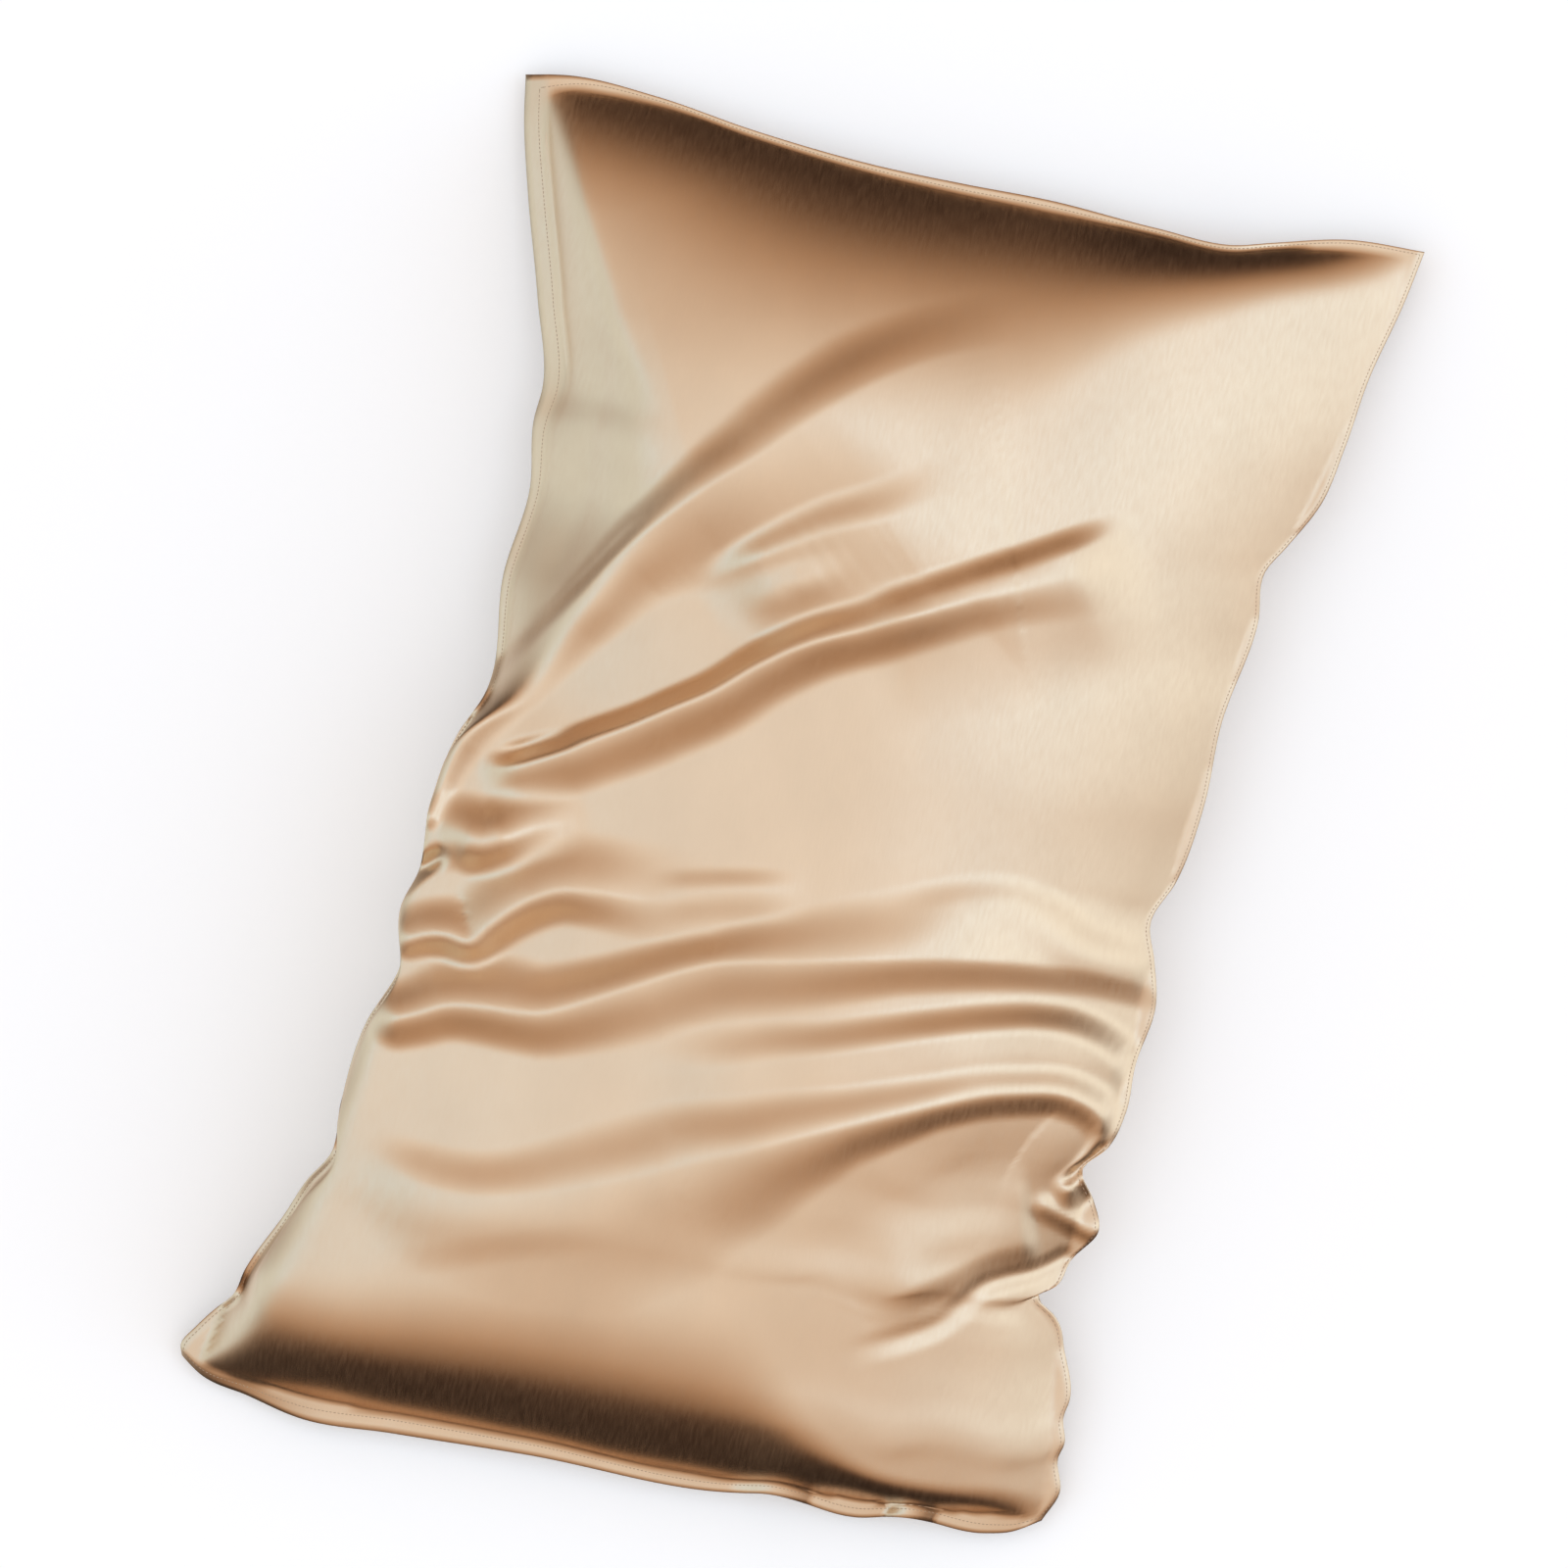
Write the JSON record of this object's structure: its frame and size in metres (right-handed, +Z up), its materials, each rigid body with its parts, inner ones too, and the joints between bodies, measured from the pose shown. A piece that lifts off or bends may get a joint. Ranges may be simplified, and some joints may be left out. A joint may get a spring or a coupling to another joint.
{
  "type": "pillowcase",
  "caption": "Satin pillowcase with its pillow inside, lying on its back: a crowned front with long diagonal folds, drawn-in sides and a flat sewn edge.",
  "frame": {"origin": "bottom centre of the case's box, on the surface that it lies on", "axes": "+X across the case, +Y along it towards its plain short end, away from the hemmed one, +Z up out of the crowned front"},
  "size_m": [0.5244, 0.7743, 0.1521],
  "materials": {
    "satin": "champagne satin with a soft sheen"
  },
  "bodies": {
    "root": {"filled_pillowcase": "satin"}
  },
  "joints": []
}
